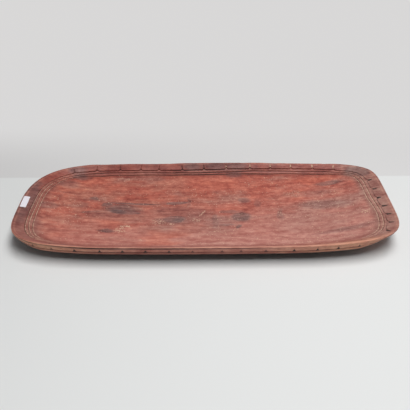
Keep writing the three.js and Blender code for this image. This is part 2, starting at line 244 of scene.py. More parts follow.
# The label's grid, and how far the ends of its inner long edge curl towards the wood.
LABEL_ROWS, LABEL_COLUMNS = 15, 41
LABEL_CURL = 0.00012

# The stage: the floor's half size, where it shows the wall's tone, the lamp, the sky's lit parts
# as shares of the way up and to the sides, and the camera, 35 degrees above the table.
FLOOR_REACH = 7.0
EDGE_BLUR = 0.003
WALL_ALONG_Y = (0.165, 0.45)
WALL_FROM_MIDDLE = (0.9, 1.8)
LAMP_PLACE = (0.50, -0.40, 2.6)
LAMP_SHAPE = 0.5
SKY_HEIGHTS = (0.45, 0.90)
SKY_SIDES = (0.70, 0.92)
CAMERA_PLACE = (-0.009, -0.970, 0.723)
CAMERA_TURN = (55.0, 0.0, -0.55)
CAMERA_LENS = {"lens": 47.7, "sensor_width": 36.0, "shift_y": -0.0108, "clip_start": 0.01}


def length(name, description, default):
    """A length that a user can change, in metres."""
    return FloatProperty(
        name=name, description=description, default=default, unit="LENGTH", precision=4
    )


def ends(name, description, default):
    """Lengths at the left and the right end, in metres."""
    return FloatVectorProperty(
        name=name, description=description, default=default, size=2, unit="LENGTH", precision=4
    )


def share(name, description, default):
    """A share from 0 to 1."""
    return FloatProperty(
        name=name, description=description, default=default, min=0.0, max=1.0, subtype="FACTOR"
    )


def places(name, description, default):
    """Places of the frieze line and the two grooves, as shares of the band's width."""
    return FloatVectorProperty(
        name=name, description=description, default=default, size=3, min=0.0, max=1.0
    )


def colour(name, description, default):
    """A colour in linear light."""
    return FloatVectorProperty(
        name=name,
        description=description,
        default=default,
        size=3,
        min=0.0,
        max=1.0,
        subtype="COLOR",
    )


class PlatterSizes(bpy.types.PropertyGroup):
    """The main forms of the platter."""

    long: length("Length", "From end to end, over the crest", frame_high.x - frame_low.x)
    broad: length("Width", "Across the broadest section", frame_high.y - frame_low.y)
    widest_at: length("Widest at", "Place of the broadest section along X", 0.030)
    crest_height: length("Crest height", "Of the crest at the broadest section", 0.044)
    end_rises: ends("End rises", "How far each end stands above the sides", (0.003, 0.008))
    crest_width: length("Crest width", "Of the flat top of the rim", 0.005)
    crest_rounding: length("Crest rounding", "Of the crest's outer edge", 0.002)
    crest_fall: length("Crest fall", "How far the crest's inner edge lies below its top", 0.0006)
    face_height: length("Outer face height", "Of the upright outer face", 0.0205)
    face_lean: length("Outer face lean", "How far the face draws in at its foot", 0.0055)
    end_faces: ends("End face heights", "Of the outer face round each end", (0.008, 0.005))
    thin_from: ends("Thinning starts", "This far from each end", (0.070, 0.100))
    thin_until: ends("Thinning ends", "This far from each end", (0.015, 0.030))
    side_band: length("Side band width", "Of the carved band on the long sides", 0.022)
    side_drop: length("Side band drop", "Fall of the band on the long sides", 0.020)
    end_band: length("End band width", "Of the carved band at the ends", 0.045)
    end_drop: length("End band drop", "Fall of the band at the ends", 0.0085)
    floor_thickness: length("Floor thickness", "Of the wood under the middle", 0.013)
    floor_rise: length("Floor rise", "How far the floor climbs by its ends", 0.008)
    spine_reach: length("Spine reach", "Half the length of the deepest line", 0.212)
    foot_half_length: length("Foot half length", "Of the flat underside", 0.240)
    foot_half_width: length("Foot half width", "Of the flat underside", 0.082)


class CarvingSizes(bpy.types.PropertyGroup):
    """The incised lines, the frieze's cuts and the notches."""

    side_lines: places("Side lines", "On the long sides, from the crest", (0.53, 0.75, 0.94))
    left_lines: places("Left lines", "Round the left end", (0.48, 0.635, 0.81))
    far_lines: places("Far right lines", "At the right end's far corner", (0.50, 0.66, 0.84))
    near_lines: places("Near right lines", "At its near corner", (0.40, 0.51, 0.71))
    frieze_width: length("Frieze line width", "Across the lips of the line", 0.0022)
    frieze_cut: length("Frieze line depth", "Of its V section", 0.0016)
    groove_width: length("Groove width", "Across the lips of a groove", 0.0024)
    groove_cut: length("Groove depth", "Of its V section", 0.0013)
    line_depth: length("Outer line place", "Below the crest, where the face is full", 0.0140)
    line_width: length("Outer line width", "Across its lips", 0.0018)
    line_cut: length("Outer line depth", "Of its V section", 0.0015)
    cells: IntProperty(name="Cells", description="Dividers on each long side", default=13, min=1)
    cell_pitch: length("Cell pitch", "Between the dividers", 0.0515)
    cell_centre: length("Cell centre", "Middle of the row of dividers, along X", -0.002)
    notches: IntProperty(name="Notches", description="On each outer face", default=15, min=1)
    notch_pitch: length("Notch pitch", "Between the notches", 0.046)
    notch_centre: length("Notch centre", "Middle of the row of notches, along X", -0.020)
    tabs: IntProperty(name="Tabs", description="Hooked cuts on the right end", default=7, min=1)
    tab_first: length("First tab", "Place of the nearest hooked cut along Y", -0.109)
    tab_pitch: length("Tab pitch", "Between the first two hooked cuts", 0.0225)
    tab_growth: length("Tab pitch growth", "Added to each next pitch, twice over", 0.0013)
    tab_length: length("Tab length", "Of a hooked cut", 0.0105)
    cut_width: length("Cross cut width", "Of a divider's V section", 0.0022)
    cut_depth: length("Cross cut depth", "Of a divider's V section", 0.0010)
    chip_width: length("Chip width", "Of a triangular chip along its line", 0.0055)
    chip_height: length("Chip height", "From its line to its tip", 0.0050)
    chip_depth: length("Chip depth", "At its line", 0.0014)
    upturn: length("Upturn", "How far a line's ends climb beside a divider", 0.0034)
    upturn_run: length("Upturn run", "Over what length they climb", 0.0055)


class WoodColours(bpy.types.PropertyGroup):
    """The worn red-ochre wood."""

    red: colour("Red wood", "The dish's main red", (0.405, 0.090, 0.057))
    bright: colour("Bright streak", "Fresh streaks of the grain", (0.530, 0.140, 0.084))
    umber: colour("Umber", "Browner patches of the dish", (0.300, 0.125, 0.088))
    rim_red: colour("Rim red", "The far rim, where more colour is left", (0.215, 0.036, 0.022))
    brown: colour("Rim brown", "The handled rim", (0.185, 0.041, 0.030))
    grey: colour("Grey wear", "Weathered patches and the ends", (0.305, 0.148, 0.116))
    # Also painted light on the near left outer face, lifting the shade there.
    ochre_and_light: colour("Ochre", "The pale near right corner", (0.600, 0.280, 0.165))
    # Painted sheen: the near side of the dish is paled as by the light's reflection.
    near_sheen: colour("Faded red", "The dusty near side of the dish", (0.470, 0.205, 0.166))
    stain: colour("Stain", "Old damp and smoke marks", (0.100, 0.064, 0.062))
    outer: colour("Outer face", "The paler, rubbed outer face", (0.560, 0.215, 0.155))
    # Painted shade: the hull and foot are darkened to stand in for the shadow under the platter.
    under: colour("Underside", "The dark hull and foot", (0.040, 0.019, 0.015))
    # Also painted shade on the outer face below its line.
    dirt: colour("Crevice dirt", "Soot in the cuts", (0.034, 0.014, 0.011))
    lime: colour("Lime", "Remains of lime and bare pale wood", (0.660, 0.440, 0.310))
    # Wear and painted highlight: rubbed lips, and the crests' lit edges.
    worn_and_lit: colour("Worn edge", "Rubbed crests and lips", (0.620, 0.285, 0.205))


class LabelLook(bpy.types.PropertyGroup):
    """The blank paper label on the left end."""

    long: length("Length", "Along the rim", 0.040)
    broad: length("Width", "Across the rim", 0.013)
    thickness: length("Thickness", "Of the paper", 0.0003)
    gap: length("Gap", "Between the paper and the wood", 0.00035)
    inset: length("Inset", "From the crest line to its outer edge", 0.0036)
    centre: length("Centre", "Place of its middle along Y", -0.003)
    corner: length("Corner radius", "Of its rounded corners", 0.0016)
    paper: colour("Paper", "Its white", (0.830, 0.790, 0.850))
    soiled: colour("Soiled paper", "Its rubbed edges", (0.560, 0.500, 0.500))


class StageLook(bpy.types.PropertyGroup):
    """The studio: table, wall tone, lamp and sky."""

    table: colour("Table", "The near part of the floor", (0.765, 0.775, 0.770))
    wall: colour("Wall", "The part beyond the table's edge", (0.690, 0.682, 0.680))
    table_edge: length("Table edge", "Where the wall's tone begins, along Y", 0.165)
    sky: share("Sky level", "Light from all round, overhead", 0.25)
    side_sky: share("Side level", "Light from beyond both ends", 0.60)
    lamp_power: FloatProperty(
        name="Lamp power", description="Of the overhead soft lamp", default=70.0, unit="POWER"
    )
    lamp_size: length("Lamp size", "Side of the overhead lamp", 2.3)


# Shapes

def smoothstep(value, low, high):
    """0 below low, 1 above high, and an even S between them."""
    t = np.clip((value - low) / (high - low), 0.0, 1.0)
    return t * t * (3.0 - 2.0 * t)


def mix(a, b, t):
    """The value a share t of the way from a to b."""
    return a + (b - a) * t


def v_profile(offset, half):
    """A V section: 1 at its middle and 0 at its lips."""
    return np.clip(1.0 - np.abs(offset) / half, 0.0, 1.0)


def waves(x, y, pitch_x, pitch_y, seed, count=9):
    """An even sum of sines of x and y, from -1 to 1, with directions and phases from a seed."""
    draw = np.random.default_rng(seed)
    along = draw.uniform(-1.6, 1.6, count) * 2.0 * math.pi / pitch_x
    across = draw.uniform(-1.6, 1.6, count) * 2.0 * math.pi / pitch_y
    phase = draw.uniform(0.0, 2.0 * math.pi, count)
    total = sum(np.sin(a * x + b * y + p) for a, b, p in zip(along, across, phase))
    return np.clip(total / math.sqrt(2.0 * count), -1.0, 1.0)


def plans(sizes):
    """The crest's, the floor's and the foot's outlines, each of four quarter superellipses."""
    half_long, half_broad = sizes.long / 2.0, sizes.broad / 2.0
    floor_x = half_long - sizes.crest_width - sizes.end_band
    floor_y = half_broad - sizes.crest_width - sizes.side_band
    foot_corners = dict.fromkeys(CREST_CORNERS, FOOT_CORNER)
    outlines = (
        (half_long, half_broad, CREST_CORNERS),
        (floor_x, floor_y, FLOOR_CORNERS),
        (sizes.foot_half_length, sizes.foot_half_width, foot_corners),
    )
    return [SimpleNamespace(end_x=x, half_width=y, corners=powers) for x, y, powers in outlines]


def quarter_shares(side_power, end_power):
    """Points of x^side + y^end = 1 from (1, 0) to (0, 1): even in y to the diagonal, then in x."""
    low, high = 0.0, 1.0
    for _ in range(BISECTIONS):
        middle = (low + high) / 2.0
        if middle**side_power + middle**end_power > 1.0:
            high = middle
        else:
            low = middle
    y = np.linspace(0.0, low, TRACE_STEPS + 1)
    x = y[::-1][1:]
    first = np.stack([(1.0 - y**end_power) ** (1.0 / side_power), y], axis=1)
    second = np.stack([x, (1.0 - x**side_power) ** (1.0 / end_power)], axis=1)
    return np.concatenate([first, second])


def crest_trace(sizes, outline, side):
    """Half of the crest line, from the right end's middle along one long side to the left's."""
    halves = []
    for name, hand in (("right", 1.0), ("left", -1.0)):
        shares = quarter_shares(*outline.corners[side, name])
        reach = outline.end_x - hand * sizes.widest_at
        x = sizes.widest_at + hand * shares[:, 0] * reach
        halves.append(np.stack([x, side * shares[:, 1] * outline.half_width], axis=1))
    return np.concatenate([halves[0], halves[1][::-1][1:]])


def reach_sum(sizes, outline, x, y, side):
    """The superellipse sum of the quarter that holds each point: above 1 it lies outside."""
    right = x > sizes.widest_at
    side_power, end_power = (
        np.where(right, outline.corners[side, "right"][k], outline.corners[side, "left"][k])
        for k in range(2)
    )
    reach = np.where(right, outline.end_x - sizes.widest_at, outline.end_x + sizes.widest_at)
    across = np.abs((x - sizes.widest_at) / reach) ** side_power
    return across + np.abs(y / outline.half_width) ** end_power


def distance_to(sizes, outline, crest, step, spine_distance, side):
    """How far from the crest each ray to the spine crosses an inner outline, by halving."""
    outer, inner = np.zeros(len(crest)), spine_distance.copy()
    for _ in range(BISECTIONS):
        middle = (outer + inner) / 2.0
        point = crest + step * middle[:, None]
        outside = reach_sum(sizes, outline, point[:, 0], point[:, 1], side) > 1.0
        outer, inner = np.where(outside, middle, outer), np.where(outside, inner, middle)
    return inner


def spine_under(sizes, x):
    """Where the ray from a crest point at x meets the spine: the reach times a quarter sine."""
    return sizes.spine_reach * np.sin(math.pi / 2.0 * x / (sizes.long / 2.0))


def rims_at(sizes, floor, foot, crest, side, spine_x):
    """What the sections need at each crest point: ray, heights, and where floor and foot begin."""
    to_spine = np.stack([spine_x - crest[:, 0], -crest[:, 1]], axis=1)
    distance = np.hypot(*to_spine.T)
    step = to_spine / distance[:, None]
    rise, thin_face, thin_from, thin_until = (
        np.where(crest[:, 0] > 0.0, right, left)
        for left, right in (sizes.end_rises, sizes.end_faces, sizes.thin_from, sizes.thin_until)
    )
    half_long, along = sizes.long / 2.0, np.abs(crest[:, 0])
    thinned = smoothstep(along, half_long - thin_from, half_long - thin_until)
    face = mix(sizes.face_height, thin_face, thinned)
    endness = smoothstep(np.abs(step[:, 0]), SIDE_BAND_UNTIL, 1.0)
    width = distance_to(sizes, floor, crest, step, distance, side) - sizes.crest_width
    drop = mix(sizes.side_drop, sizes.end_drop, endness)
    return SimpleNamespace(
        side=side,
        crest=crest,
        step=step,
        spine_x=spine_x,
        distance=distance,
        crest_z=sizes.crest_height + rise * (along / half_long) ** RISE_SHARPNESS,
        face=face,
        thin=(face - sizes.crest_rounding) / (sizes.face_height - sizes.crest_rounding),
        foot_start=distance_to(sizes, foot, crest, step, distance, side),
        endness=endness,
        width=width,
        drop=drop,
        slope=np.arctan2(drop, width),
    )


def on_band(sizes, rim, place):
    """Inset and height of the band at a share of its width: a straight slope from the crest."""
    inset = sizes.crest_width + place * rim.width
    return inset, rim.crest_z - sizes.crest_fall - place * rim.drop


def on_face(sizes, rim, below):
    """Inset and height of the outer face: a straight lean below the crest."""
    return sizes.face_lean * below / sizes.face_height, rim.crest_z - below


def below_on(sizes, rim, depth):
    """A depth on the full face as it is where the face is thinned."""
    return sizes.crest_rounding + rim.thin * (depth - sizes.crest_rounding)


def line_places(carving, rim):
    """Where the frieze line and the two grooves run, as shares of the band.

    They go from their places on the sides to those of an end by the endness, and at the right
    end from the far corner's to the near one's along Y.
    """
    nearness = smoothstep(-rim.crest[:, 1], *NEAR_CORNER_SPAN)
    found = []
    for on_side, left, far, near in zip(
        carving.side_lines, carving.left_lines, carving.far_lines, carving.near_lines
    ):
        at_end = np.where(rim.crest[:, 0] > 0.0, mix(far, near, nearness), left)
        found.append(mix(on_side, at_end, rim.endness))
    return found


def placed(rim, inset, z):
    """Points at an inset along each ray and at a height."""
    return np.column_stack([rim.crest + rim.step * np.broadcast_to(inset, z.shape)[:, None], z])


def unit(vectors):
    """Vectors scaled to length 1."""
    return vectors / np.linalg.norm(vectors, axis=-1, keepdims=True)


def sampled(curve, places):
    """A curve's points at places counted along it."""
    index = np.arange(len(curve))
    return np.stack([np.interp(places, index, column) for column in curve.T], axis=1)


def frames_on(rim, curve, beyond, places):
    """Frames at places on a curve along the rim: along it, out of the wood, and over the section.

    Along is the curve's own direction, out is square to it and to the way to a second curve, and
    onward is square to both.
    """
    along = unit(np.gradient(curve, axis=0))
    out = unit(np.cross(along, beyond - curve) * rim.side)
    along, out = unit(sampled(along, places)), unit(sampled(out, places))
    onward = np.cross(out, along) * rim.side
    point = sampled(curve, places)
    return SimpleNamespace(place=places, point=point, along=along, out=out, onward=onward)


def row(count, pitch, centre, stray):
    """Evenly pitched values about a centre, each with its own stray."""
    return centre + (np.arange(count) - (count - 1) / 2.0) * pitch + np.resize(stray, count) * MM


def far_stray(rim):
    """The stray of the frieze line and the two grooves: none on the near side."""
    at, *strays = np.array(FAR_STRAY).T * MM
    return [(rim.side == FAR) * np.interp(rim.crest[:, 0], at, stray) for stray in strays]


def cuts_on(sizes, carving, rim):
    """Frames of the dividers, notches and tabs of one side, found along its dense trace."""
    place = line_places(carving, rim)[0] + far_stray(rim)[0] / rim.width
    frieze, floor_edge = (placed(rim, *on_band(sizes, rim, at)) for at in (place, 1.0))
    line_below = below_on(sizes, rim, carving.line_depth)
    line, edge = (
        placed(rim, *on_face(sizes, rim, below)) for below in (line_below, sizes.crest_rounding)
    )
    cell_x = row(carving.cells, carving.cell_pitch, carving.cell_centre, DIVIDER_STRAY)
    notch_x = row(carving.notches, carving.notch_pitch, carving.notch_centre, NOTCH_STRAY)
    order = np.arange(carving.tabs)
    tab_y = carving.tab_first + carving.tab_pitch * order + carving.tab_growth * order**2
    tab_y = tab_y[(tab_y < 0.0) == (rim.side == NEAR)]
    index, end = np.arange(len(frieze)), slice(0, TRACE_STEPS)
    tabs = np.interp(np.abs(tab_y), np.abs(frieze[end, 1]), index[end])
    return SimpleNamespace(
        cells=frames_on(rim, frieze, floor_edge, np.interp(-cell_x, -frieze[:, 0], index)),
        notches=frames_on(rim, line, edge, np.interp(-notch_x, -line[:, 0], index)),
        tabs=frames_on(rim, frieze, floor_edge, tabs),
    )


def station_places(trace, cuts):
    """Places along a trace for the sections: a coarse pitch, and a fine one across every cut."""
    run = np.concatenate([[0.0], np.cumsum(np.hypot(*np.diff(trace, axis=0).T))])
    index = np.arange(len(trace))
    places = np.concatenate([cuts.cells.place, cuts.notches.place, cuts.tabs.place])
    near_cut = np.abs(run[:, None] - np.interp(places, index, run)).min(axis=1)
    pitch = mix(CUT_PITCH, PLAIN_PITCH, smoothstep(near_cut, CUT_REACH, 2.0 * CUT_REACH))
    weight = np.concatenate([[0.0], np.cumsum(np.diff(run) / pitch[1:])])
    return np.interp(np.linspace(0.0, weight[-1], STATIONS), weight, index)


def to_nearest(frames, curve):
    """Signed distance of each station's point on a curve from its nearest cut, along the rim."""
    offset = curve[:, None, :] - frames.point[None, :, :]
    distances = np.einsum("sck,ck->sc", offset, frames.along)
    pick = np.argmin(np.abs(distances), axis=1)
    return distances[np.arange(len(distances)), pick]


def line_lift(carving, rim, cuts, frieze):
    """How far the frieze line climbs beside its dividers, and how deep it stays there.

    Beside a cell's divider both ends climb, by the square of the nearness. Beside a tab only the
    end on the far side climbs, into the hook, and the other is broken off short.
    """
    run = carving.upturn_run
    lift = carving.upturn * v_profile(to_nearest(cuts.cells, frieze), run) ** 2
    if not len(cuts.tabs.place):
        return lift, np.ones(len(lift))
    to_tab = to_nearest(cuts.tabs, frieze) * rim.side
    to_tab = np.where(rim.crest[:, 0] > 0.0, to_tab, 1.0)
    hooked, climb, gap = to_tab > 0.0, HOOK_SCALE * carving.upturn, 0.8 * run
    hook = climb * np.clip(1.0 - to_tab / (HOOK_SCALE * run), 0.0, 1.0) ** 2
    back = climb * smoothstep(to_tab, -gap, 0.0) ** 2
    past = smoothstep(to_tab, 1.4 * run, 2.6 * run)
    ahead = smoothstep(-to_tab, 0.0, 0.4 * gap)
    faint = mix(1.0, FAINT_LINE, np.where(hooked, past, ahead))
    return lift + np.where(hooked, hook, back), np.where(np.abs(to_tab) < 5.0 * run, faint, 1.0)


def section_rings(sizes, carving, rim, shifts, keep):
    """Every ring of the wood's section, in order up the hull, over the crest and into the dish.

    The hull's height is a power of the share of the way from the foot to the face. The face is a
    straight lean with a V line, the crest a quarter circle and then a fall by the square of the
    way, and the band a straight slope with V grooves. From its edge the floor sinks to the spine
    by a power of the way that is left.

    Returns each ring's kind, arrays of stations by rings, and the floor's height. The arrays are
    the inset along the ray, the height, the way that a cut sinks in, the place and the finish.
    """
    kinds, rings = [], {key: [] for key in ("inset", "z", "sink_r", "sink_z", *PLAIN_RING)}
    ones = np.ones(len(rim.crest_z))

    def add(kind, inset, z, sink=(0.0, -1.0), **finish):
        """Adds one ring, plain but for the finish that is named."""
        kinds.append(kind)
        shape = {"inset": inset, "z": z, "sink_r": sink[0], "sink_z": sink[1]}
        for key, value in {**PLAIN_RING, **shape, **finish}.items():
            rings[key].append(value * ones)

    for t in BOTTOM_SHARES:
        add("foot", mix(rim.foot_start, rim.distance, t), 0.0, on_rim=UNDERSIDE)
    top_inset, top_z = on_face(sizes, rim, rim.face)
    for t in np.arange(1, HULL_STEPS + 1) / (HULL_STEPS + 1):
        inset = mix(rim.foot_start, top_inset, t)
        add("hull", inset, top_z * t**HULL_FULLNESS, (0.7, 0.7), on_rim=UNDERSIDE)

    x, sideness = rim.crest[:, 0], 1.0 - 0.6 * rim.endness
    # A dark band along the outer edge: on the lower part of the crest's rounding and the face's
    # top.
    edge_darkening = EDGE_DARKENING * smoothstep(x, *EDGE_DARKENING_ALONG) * sideness
    line, half = carving.line_depth, carving.line_width / 2.0
    for depth in (
        *np.linspace(sizes.face_height, line + half, 6)[:-1],
        *(line + np.array([half, half / 2.0, 0.0, -half / 2.0])),
        *np.linspace(line - half, sizes.crest_rounding * 1.5, 8),
    ):
        inset, z = on_face(sizes, rim, below_on(sizes, rim, depth))
        cut = v_profile(depth - line, half)
        # Below the line the face gets painted shade: some dirt colour, and less of the paler outer
        # colour.
        soot_and_shade = max(min(1.4 * cut, 1.0), 0.3 * (depth > line))
        add(
            "face",
            inset + carving.line_cut * cut * rim.thin,
            z,
            (1.0, 0.0),
            dirt=soot_and_shade + edge_darkening * smoothstep(depth, *EDGE_DARKENING_BELOW),
            outside=1.0 if depth <= line else 0.45,
        )

    rounding = sizes.crest_rounding
    # The crest's wear is partly a painted highlight, strongest on the near side.
    wear = CREST_WEAR_AND_HIGHLIGHT[rim.side] * sideness * mix(0.3, 1.0, smoothstep(x, *WEAR_AND_HIGHLIGHT_ALONG))
    for angle in np.radians([0.0, 25.0, 50.0, 72.0, 90.0]):
        inset, high = rounding * (1.0 - math.cos(angle)), math.sin(angle)
        worn_and_lit, soot_and_shade = wear * (high > 0.6), edge_darkening * (high < 0.6)
        z, outside = rim.crest_z - rounding * (1.0 - high), 1.0 - inset / rounding
        add("crest", inset, z, (0.7, -0.7), dirt=soot_and_shade, wear=worn_and_lit, outside=outside)
    for t, worn_and_lit in ((0.35, wear), (0.72, 0.8 * wear), (0.93, 0.8 * wear)):
        inset = mix(rounding, sizes.crest_width, t)
        add("crest", inset, rim.crest_z - sizes.crest_fall * t**2, wear=worn_and_lit)

    inward, downward = -np.sin(rim.slope), -np.cos(rim.slope)

    def add_band(place, cut=0.0, **finish):
        """Adds one ring of the band, cut in square to its slope."""
        inset, z = on_band(sizes, rim, place)
        add("band", inset + inward * cut, z + downward * cut, (inward, downward), **finish)

    # The left end's lines are limed and the right end's grooves too. The others hold soot.
    left, right = rim.endness * (x < 0.0), rim.endness * (x > 0.0)
    sooty = 1.0 - 0.55 * left
    frieze, *grooves = line_places(carving, rim)
    frieze = frieze + shifts[0] / rim.width
    upper = frieze + BESIDE_FRIEZE[0] / rim.width
    for t in (0.03, 0.25, 0.5, 0.75):
        add_band(upper * t, wear=0.6 if t < 0.1 else 0.0)
    for offset in BESIDE_FRIEZE:
        add_band(frieze + offset / rim.width)
    half = carving.frieze_width / 2.0
    for offset in np.linspace(-half, half, 7):
        cut = v_profile(offset, half) * keep
        add_band(
            frieze + offset / rim.width,
            carving.frieze_cut * cut,
            dirt=cut**0.35 * sooty * (1.0 - 0.25 * right),
            lime=left * (offset > 0.0) * (1.0 - cut),
        )
    before = frieze + half / rim.width
    half = carving.groove_width / 2.0
    for place, shift in zip(grooves, shifts[1:]):
        middle = place + shift / rim.width
        for t in (0.35, 0.7):
            add_band(mix(before, middle - half / rim.width, t), wear=0.18)
        for offset in np.linspace(-half, half, 5):
            cut = v_profile(offset, half)
            add_band(
                middle + offset / rim.width,
                carving.groove_cut * cut,
                dirt=cut**0.45 * sooty * (1.0 - 0.4 * right),
                wear=(0.4 if offset < 0.0 else 0.16) * (1.0 - cut),
                lime=(1.0 - cut) * (offset > 0.0) * np.maximum(left, 0.85 * right),
            )
        before = middle + half / rim.width

    edge_inset, edge_z = on_band(sizes, rim, before)
    spine_share = np.abs(rim.spine_x / sizes.spine_reach)
    floor_z = sizes.floor_thickness + sizes.floor_rise * spine_share**FLOOR_RISE_SHARPNESS
    for t in (np.arange(1, FLOOR_STEPS + 1) / (FLOOR_STEPS + 0.6)) ** 1.5:
        inset = mix(edge_inset, rim.distance, t)
        z = mix(floor_z, edge_z, (1.0 - t) ** FLOOR_FULLNESS)
        add("floor", inset, z, on_rim=1.0 - smoothstep(t, 0.0, 0.1), place=t)
    rings = {key: np.stack(values, axis=1) for key, values in rings.items()}
    return np.array(kinds), rings, floor_z


def cuts_over(frames, points, climb):
    """Each cut's foot, and how far points lie from it along the rim and over the section."""
    for foot, along, out, onward in zip(frames.point, frames.along, frames.out, frames.onward):
        offset = points - foot
        near = np.abs(offset @ out) < CUT_SLAB
        yield foot, np.where(near, offset @ along, 1.0), offset @ onward + climb


def chip_at(carving, u, w, scale):
    """A triangular chip: its half width shrinks from its base at w = 0 to a blunt tip."""
    t = np.clip(-w / (carving.chip_height * scale), 0.0, 1.0)
    half = mix(carving.chip_width / 2.0 * scale, carving.chip_width / 10.0, t)
    return v_profile(u, half) * (1.0 - t) * smoothstep(w, CHIP_BASE, 0.0)


def raise_to(total, value):
    """Keeps the greater of two arrays in the first."""
    np.maximum(total, value, out=total)


def carve_band(sizes, carving, rim, cuts, points, seed):
    """Depth, dirt and lime of the dividers and hooks on the band."""
    draw = np.random.default_rng(seed)
    depth, dirt, lime = np.zeros((3, *points.shape[:2]))
    half = carving.cut_width / 2.0
    reach = carving.side_lines[0] * math.hypot(sizes.side_band, sizes.side_drop) - HEAD_GAP
    for foot, u, w in cuts_over(cuts.cells, points, 0.5 * carving.upturn):
        lean, bare = draw.uniform(-0.12, 0.12), draw.uniform(0.0, 1.0)
        u = u + lean * w
        head = smoothstep(-w, reach, reach - CUT_HEAD)
        upright = v_profile(u, 1.2 * half) * head * (w < half)
        chip = chip_at(carving, u, w, draw.uniform(0.85, 1.15))
        cleaned = float(foot[0] > 0.0)
        filled = 0.15 + cleaned * (0.55 + 0.25 * bare)
        raise_to(depth, np.maximum(upright * carving.cut_depth, chip * carving.chip_depth))
        soot_and_shade = np.maximum(1.3 * upright * (1.15 - filled), (2.0 - 1.3 * cleaned) * chip)
        raise_to(dirt, np.minimum(soot_and_shade, 1.0))
        shoulder = np.clip(1.3 - np.abs(u) / (1.8 * half), 0.0, 1.0) * head * (w < 0.0)
        raise_to(lime, shoulder * filled * (1.0 - (0.8 - 0.6 * cleaned) * chip))
    for _, u, w in cuts_over(cuts.tabs, points, 1.2 * carving.upturn):
        reach = carving.tab_length * draw.uniform(0.85, 1.1)
        u = u + draw.uniform(-0.1, 0.1) * w
        head = smoothstep(-w, reach, reach - CUT_HEAD)
        broad = half * mix(3.2, 1.7, np.clip(-w / reach, 0.0, 1.0))
        upright = v_profile(u, broad) * head * (w < half)
        chip = chip_at(carving, u - TAB_CHIP_SHIFT * rim.side, w, 1.1)
        raise_to(depth, np.maximum(1.3 * upright * carving.cut_depth, chip * carving.chip_depth))
        raise_to(dirt, np.minimum(2.6 * np.maximum(upright, chip), 1.0))
        raise_to(lime, 0.5 * v_profile(u - 2.6 * half * rim.side, half) * head * (w < 0.0))
    return depth, dirt, lime


def carve_face(carving, cuts, points, seed):
    """Depth and dirt of the notches, each with a faint scored line up to the crest."""
    draw = np.random.default_rng(seed)
    depth, dirt = np.zeros((2, *points.shape[:2]))
    for _, u, w in cuts_over(cuts.notches, points, NOTCH_BASE):
        chip = chip_at(carving, u, -w, draw.uniform(1.35, 1.65))
        score = v_profile(u, SCORE_WIDTH / 2.0) * (w > 0.0) * draw.uniform(0.2, 0.8)
        raise_to(depth, np.maximum(chip * carving.chip_depth, score * SCORE_DEPTH))
        raise_to(dirt, np.minimum(np.maximum(9.0 * chip, score), 1.0))
    return depth, dirt


def hand_wander(rim):
    """The hand's unevenness: the crest drawn in and worn down, and the lines' wander.

    Everything goes inwards or down, so that the wood stays within its true size.
    """
    x, y = rim.crest.T
    drawn_in = DRAWN_IN * (1.0 + waves(x, y, 0.16, 0.16, 11))
    sag = FAR_SAG * (rim.side == FAR) * smoothstep(np.abs(x - SAG_MIDDLE), *SAG_FROM_MIDDLE)
    sag = sag * smoothstep(x, *SAG_LEFT) * smoothstep(x, *SAG_RIGHT)
    worn_down = sag + WORN_DOWN * (1.0 + waves(x, y, 0.11, 0.11, 12))
    lines = [LINE_WANDER * waves(x, y, 0.13, 0.13, 20 + k) for k in range(3)]
    return drawn_in, worn_down * (1.0 - 0.85 * rim.endness), lines


def side_surface(sizes, carving, rim, cuts, seed):
    """One long side of the wood: its points and finish as stations by rings, and its floor."""
    drawn_in, worn_down, shifts = hand_wander(rim)
    rim.crest = rim.crest + rim.step * drawn_in[:, None]
    rim.distance = rim.distance - drawn_in
    rim.crest_z = rim.crest_z - worn_down
    rim.drop = rim.drop - worn_down
    stray = far_stray(rim)
    place = line_places(carving, rim)[0] + stray[0] / rim.width
    lift, keep = line_lift(carving, rim, cuts, placed(rim, *on_band(sizes, rim, place)))
    shifts = [wander + shift for wander, shift in zip(shifts, stray)]
    shifts[0] = shifts[0] - lift
    kinds, rings, floor_z = section_rings(sizes, carving, rim, shifts, keep)
    flat = rim.crest[:, None, :] + rim.step[:, None, :] * rings["inset"][:, :, None]
    points = np.concatenate([flat, rings["z"][:, :, None]], axis=2)
    dirt, lime, sink = rings["dirt"], rings["lime"], np.zeros_like(rings["z"])

    band, face, hull, floor, crest = (
        kinds == kind for kind in ("band", "face", "hull", "floor", "crest")
    )
    cut, soot_and_shade, pale = carve_band(sizes, carving, rim, cuts, points[:, band], seed)
    groove = dirt[:, band]
    sink[:, band] = cut * (1.0 - 0.8 * groove)
    dirt[:, band] = np.maximum(groove, soot_and_shade)
    lime[:, band] = np.maximum(lime[:, band], pale * (1.0 - groove))
    cut, soot_and_shade = carve_face(carving, cuts, points[:, face], seed + 1)
    sink[:, face] = cut * (1.0 - 0.8 * dirt[:, face])
    dirt[:, face] = np.maximum(dirt[:, face], soot_and_shade)

    x, y = points[:, :, 0], points[:, :, 1]
    sink[:, hull] = HULL_SCOOPS * np.abs(waves(x, y, 0.07, 0.035, 31))[:, hull] ** 0.7
    fade = smoothstep(rings["place"][:, floor], 0.0, 0.12)
    sink[:, floor] = FLOOR_WAVES * waves(x, y, 0.12, 0.05, 32)[:, floor] * fade
    nicks = np.clip(waves(x, y, 0.021, 0.021, 33) - 0.55, 0.0, 1.0)
    sink[:, crest] = CREST_NICKS * nicks[:, crest] ** 1.5
    points[:, :, :2] += rim.step[:, None, :] * (sink * rings["sink_r"])[:, :, None]
    points[:, :, 2] += sink * rings["sink_z"]
    return {"points": points, **{key: rings[key] for key in FINISH}}, floor_z


